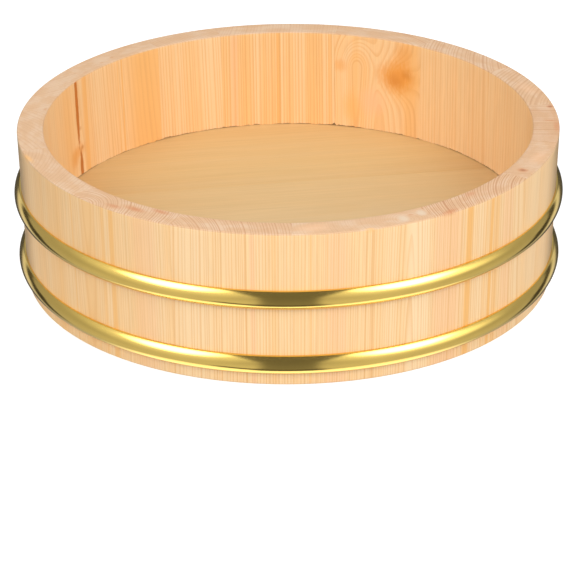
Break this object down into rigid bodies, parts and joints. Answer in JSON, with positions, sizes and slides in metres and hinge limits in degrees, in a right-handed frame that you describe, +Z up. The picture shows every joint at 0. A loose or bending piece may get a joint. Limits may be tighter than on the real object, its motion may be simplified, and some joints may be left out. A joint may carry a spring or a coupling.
{
  "type": "sushi rice tub",
  "caption": "Low open round tub of bare wooden staves held by rolled brass hoops, with a raised board floor, for cooling and seasoning sushi rice.",
  "frame": {"origin": "centre of the foot ring, on the surface that the tub stands on", "axes": "+Z up along the tub's axis, -Y towards the front joint between two staves, +X to the right"},
  "size_m": [0.3064, 0.3064, 0.0877],
  "materials": {
    "wood": "planed, unfinished, satin",
    "floor_wood": "planed, unfinished",
    "brass": "polished",
    "bamboo": "split bamboo, unfinished"
  },
  "bodies": {
    "root": {"stave_01": "wood", "stave_02": "wood", "stave_03": "wood", "stave_04": "wood", "stave_05": "wood", "stave_06": "wood", "stave_07": "wood", "stave_08": "wood", "stave_09": "wood", "stave_10": "wood", "stave_11": "wood", "stave_12": "wood", "stave_13": "wood", "stave_14": "wood", "stave_15": "wood", "floor_board_1": "floor_wood", "floor_board_2": "floor_wood", "floor_board_3": "floor_wood", "upper_hoop": "brass", "lower_hoop": "brass", "upper_pin_01": "bamboo", "upper_pin_02": "bamboo", "upper_pin_03": "bamboo", "upper_pin_04": "bamboo", "upper_pin_05": "bamboo", "upper_pin_06": "bamboo", "upper_pin_07": "bamboo", "upper_pin_08": "bamboo", "upper_pin_09": "bamboo", "upper_pin_10": "bamboo", "upper_pin_11": "bamboo", "upper_pin_12": "bamboo", "upper_pin_13": "bamboo", "upper_pin_14": "bamboo", "upper_pin_15": "bamboo", "lower_pin_01": "bamboo", "lower_pin_02": "bamboo", "lower_pin_03": "bamboo", "lower_pin_04": "bamboo", "lower_pin_05": "bamboo", "lower_pin_06": "bamboo", "lower_pin_07": "bamboo", "lower_pin_08": "bamboo", "lower_pin_09": "bamboo", "lower_pin_10": "bamboo", "lower_pin_11": "bamboo", "lower_pin_12": "bamboo", "lower_pin_13": "bamboo", "lower_pin_14": "bamboo", "lower_pin_15": "bamboo", "floor_pin_1_left": "bamboo", "floor_pin_1_right": "bamboo", "floor_pin_2_left": "bamboo", "floor_pin_2_right": "bamboo"}
  },
  "joints": []
}
